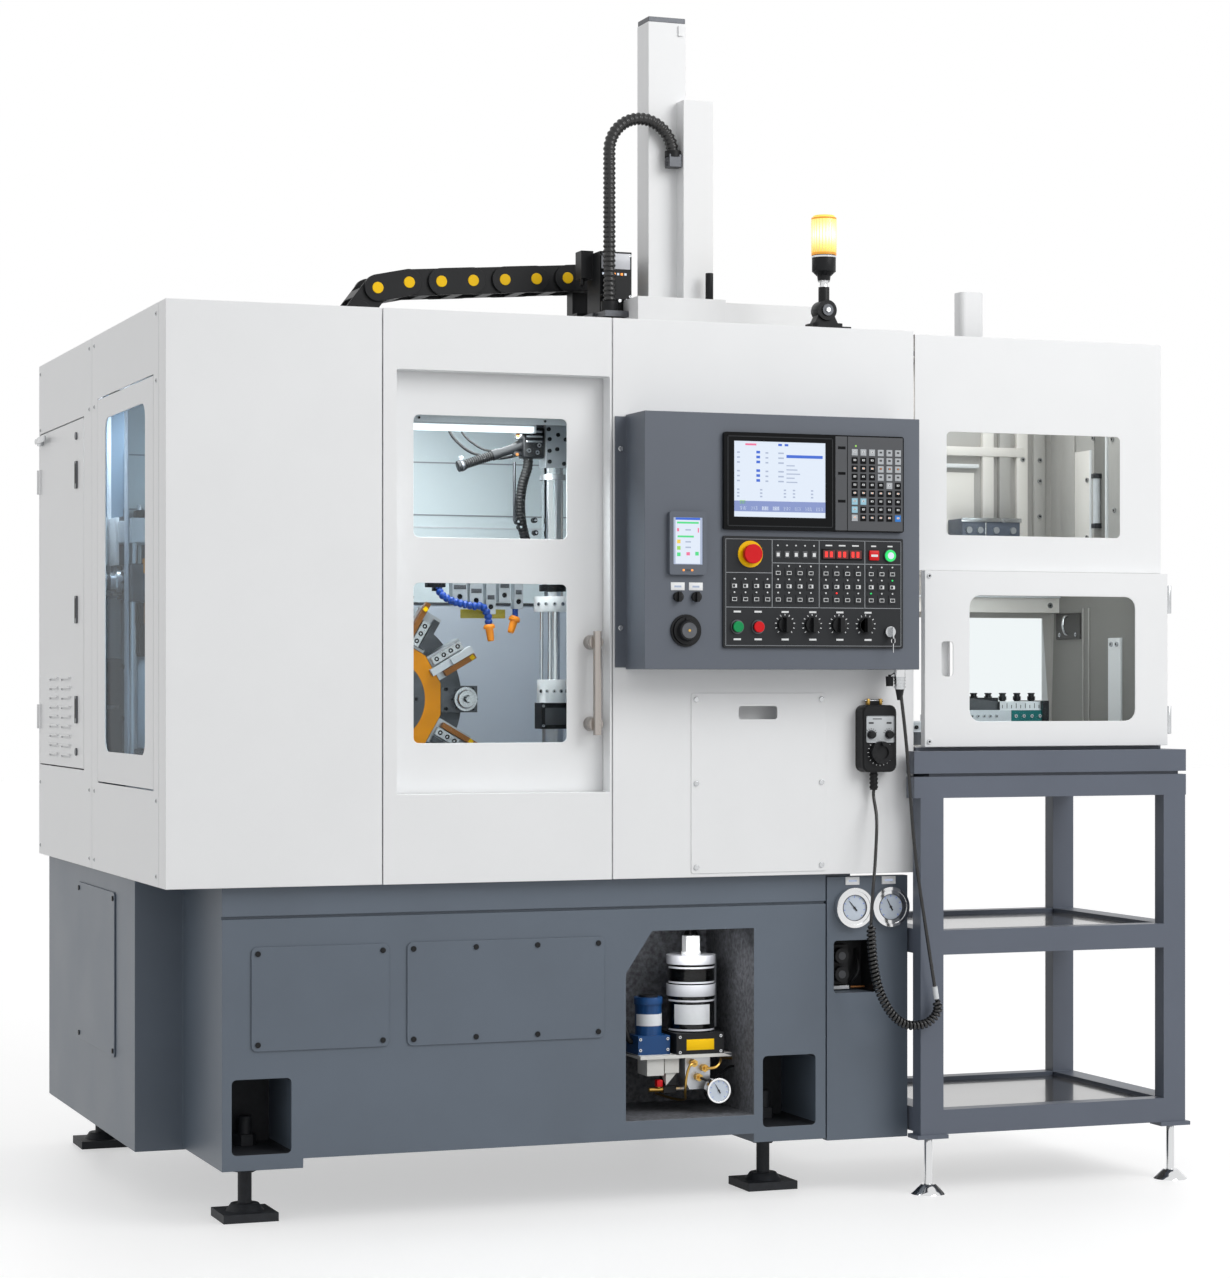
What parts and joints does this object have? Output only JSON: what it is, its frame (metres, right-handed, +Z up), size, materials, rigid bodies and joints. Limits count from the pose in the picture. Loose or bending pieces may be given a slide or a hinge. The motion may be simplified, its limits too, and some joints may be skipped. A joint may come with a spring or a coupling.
{
  "type": "turn-mill center",
  "caption": "Turn-mill center with white sheet-metal enclosure, sliding window door, tool turret, overhead gantry loading arm with cable chain, and a workpiece stocker cabinet on a stand",
  "frame": {"origin": "centre of the bounding box on the floor", "axes": "+X to the right seen from the operator's side, +Y to the rear, +Z up"},
  "size_m": [2.3967, 1.6235, 2.686],
  "materials": {
    "white_paint": "satin powder coat",
    "base_grey": "fine textured paint",
    "stand_grey": "satin powder coat",
    "liner_paint": "satin paint",
    "steel": "brushed",
    "chrome": "polished",
    "aluminium": "anodised",
    "cast_black": "as cast, blackened",
    "black_plastic": "matt",
    "grey_plastic": "matt",
    "panel_black": "matt",
    "glass": "clear",
    "reservoir": "smoked",
    "amber": "glowing",
    "light": "glowing",
    "hose_blue": "satin",
    "red": "gloss",
    "green": "gloss",
    "turret_metal": "machined"
  },
  "bodies": {
    "machine": {"bed": "base_grey", "base_covers": "base_grey", "hardware": "steel", "leveling_feet": "cast_black", "gauge_panel": "base_grey", "gauges": "chrome", "lube_unit": "aluminium", "lube_reservoir": "reservoir", "front_left_panel": "white_paint", "front_centre_frame": "white_paint", "front_right_panel": "white_paint", "access_cover": "white_paint", "left_panels": "white_paint", "fixed_windows": "glass", "rear_shell": "white_paint", "work_liner": "liner_paint", "work_light": "light", "hoses": "hose_blue", "guide_post": "steel", "control_box": "white_paint", "control_units": "panel_black", "loader_cabinet": "white_paint", "loader_stand": "stand_grey", "stocker": "aluminium", "gantry_beam": "steel", "signal_light": "black_plastic", "signal_lens": "amber", "pendant": "grey_plastic", "pendant_cord": "black_plastic"},
    "front_door": {"front_door": "white_paint", "door_glass": "glass", "door_handle": "steel"},
    "loader_door": {"loader_door": "white_paint", "loader_glass": "glass"},
    "cabinet_door": {"cabinet_door": "white_paint"},
    "carriage": {"carriage_cover": "white_paint", "carriage_drive": "black_plastic", "cable_chain": "black_plastic", "arm_hose": "black_plastic"},
    "arm": {"arm_column": "white_paint", "arm_fittings": "turret_metal"},
    "jaw_left": {"jaw_left": "steel"},
    "jaw_right": {"jaw_right": "steel"},
    "saddle": {"turret_saddle": "turret_metal"},
    "turret_slide": {"turret_housing": "turret_metal"},
    "turret": {"turret_disc": "turret_metal", "tool_holders": "steel"},
    "spindle": {"chuck": "steel"},
    "emergency_stop": {"emergency_stop": "red"},
    "start_button": {"start_button": "green"},
    "stop_button": {"stop_button": "red"},
    "rotary_1": {"rotary_1": "black_plastic"},
    "rotary_2": {"rotary_2": "black_plastic"},
    "rotary_3": {"rotary_3": "black_plastic"},
    "rotary_4": {"rotary_4": "black_plastic"},
    "key_switch": {"key_switch": "chrome"},
    "selector_1": {"selector_1": "black_plastic"},
    "selector_2": {"selector_2": "black_plastic"},
    "power_switch": {"power_switch": "grey_plastic"},
    "handwheel": {"handwheel": "black_plastic"}
  },
  "joints": [
    {"name": "front_door_slide", "type": "slide", "parent": "machine", "child": "front_door", "axis": [-1, 0, 0], "range_m": [0, 0.42]},
    {"name": "loader_door_hinge", "type": "hinge", "parent": "machine", "child": "loader_door", "pos_m": [1.172, -0.6785, 1.2], "axis": [0, 0, 1], "range_deg": [0, 110]},
    {"name": "cabinet_door_hinge", "type": "hinge", "parent": "machine", "child": "cabinet_door", "pos_m": [-1.194, 0.7985, 1.357], "axis": [0, 0, -1], "range_deg": [0, 110]},
    {"name": "gantry_travel", "type": "slide", "parent": "machine", "child": "carriage", "axis": [1, 0, 0], "range_m": [0, 0.68]},
    {"name": "arm_lift", "type": "slide", "parent": "carriage", "child": "arm", "axis": [0, 0, -1], "range_m": [0, 0.39], "deforming": ["arm_hose"]},
    {"name": "jaw_left_slide", "type": "slide", "parent": "arm", "child": "jaw_left", "axis": [-1, 0, 0], "range_m": [0, 0.008]},
    {"name": "jaw_right_slide", "type": "slide", "parent": "arm", "child": "jaw_right", "axis": [1, 0, 0], "range_m": [0, 0.008]},
    {"name": "saddle_travel", "type": "slide", "parent": "machine", "child": "saddle", "axis": [0, 1, 0], "range_m": [-0.03, 0.05]},
    {"name": "turret_travel", "type": "slide", "parent": "saddle", "child": "turret_slide", "axis": [1, 0, 0], "range_m": [0, 0.3]},
    {"name": "turret_index", "type": "hinge", "parent": "turret_slide", "child": "turret", "pos_m": [-0.622, -0.3165, 1.111], "axis": [0, 1, 0], "continuous": true},
    {"name": "spindle_spin", "type": "hinge", "parent": "machine", "child": "spindle", "pos_m": [0.0605, -0.1785, 1.111], "axis": [0, 1, 0], "continuous": true},
    {"name": "emergency_stop_press", "type": "slide", "parent": "machine", "child": "emergency_stop", "axis": [0, 1, 0], "range_m": [0, 0.004], "stiffness_N_per_m": 900},
    {"name": "start_button_press", "type": "slide", "parent": "machine", "child": "start_button", "axis": [0, 1, 0], "range_m": [0, 0.004], "stiffness_N_per_m": 400},
    {"name": "stop_button_press", "type": "slide", "parent": "machine", "child": "stop_button", "axis": [0, 1, 0], "range_m": [0, 0.004], "stiffness_N_per_m": 400},
    {"name": "rotary_1_turn", "type": "hinge", "parent": "machine", "child": "rotary_1", "pos_m": [0.151, -0.7895, 1.274], "axis": [0, 1, 0], "range_deg": [-135, 135]},
    {"name": "rotary_2_turn", "type": "hinge", "parent": "machine", "child": "rotary_2", "pos_m": [0.2155, -0.7895, 1.274], "axis": [0, 1, 0], "range_deg": [-135, 135]},
    {"name": "rotary_3_turn", "type": "hinge", "parent": "machine", "child": "rotary_3", "pos_m": [0.28, -0.7895, 1.274], "axis": [0, 1, 0], "range_deg": [-135, 135]},
    {"name": "rotary_4_turn", "type": "hinge", "parent": "machine", "child": "rotary_4", "pos_m": [0.3445, -0.7895, 1.274], "axis": [0, 1, 0], "range_deg": [-135, 135]},
    {"name": "key_turn", "type": "hinge", "parent": "machine", "child": "key_switch", "pos_m": [0.402, -0.7895, 1.26], "axis": [0, 1, 0], "range_deg": [0, 90]},
    {"name": "selector_1_turn", "type": "hinge", "parent": "machine", "child": "selector_1", "pos_m": [-0.098, -0.7835, 1.333], "axis": [0, 1, 0], "range_deg": [-45, 45]},
    {"name": "selector_2_turn", "type": "hinge", "parent": "machine", "child": "selector_2", "pos_m": [-0.056, -0.7835, 1.333], "axis": [0, 1, 0], "range_deg": [-45, 45]},
    {"name": "power_turn", "type": "hinge", "parent": "machine", "child": "power_switch", "pos_m": [-0.08, -0.7835, 1.26], "axis": [0, 1, 0], "range_deg": [0, 90]},
    {"name": "handwheel_turn", "type": "hinge", "parent": "machine", "child": "handwheel", "pos_m": [0.418, -0.7085, 0.992], "axis": [0, 1, 0], "continuous": true}
  ],
  "couplings": [
    {"joint": "jaw_right_slide", "follows": "jaw_left_slide", "ratio": 1}
  ]
}
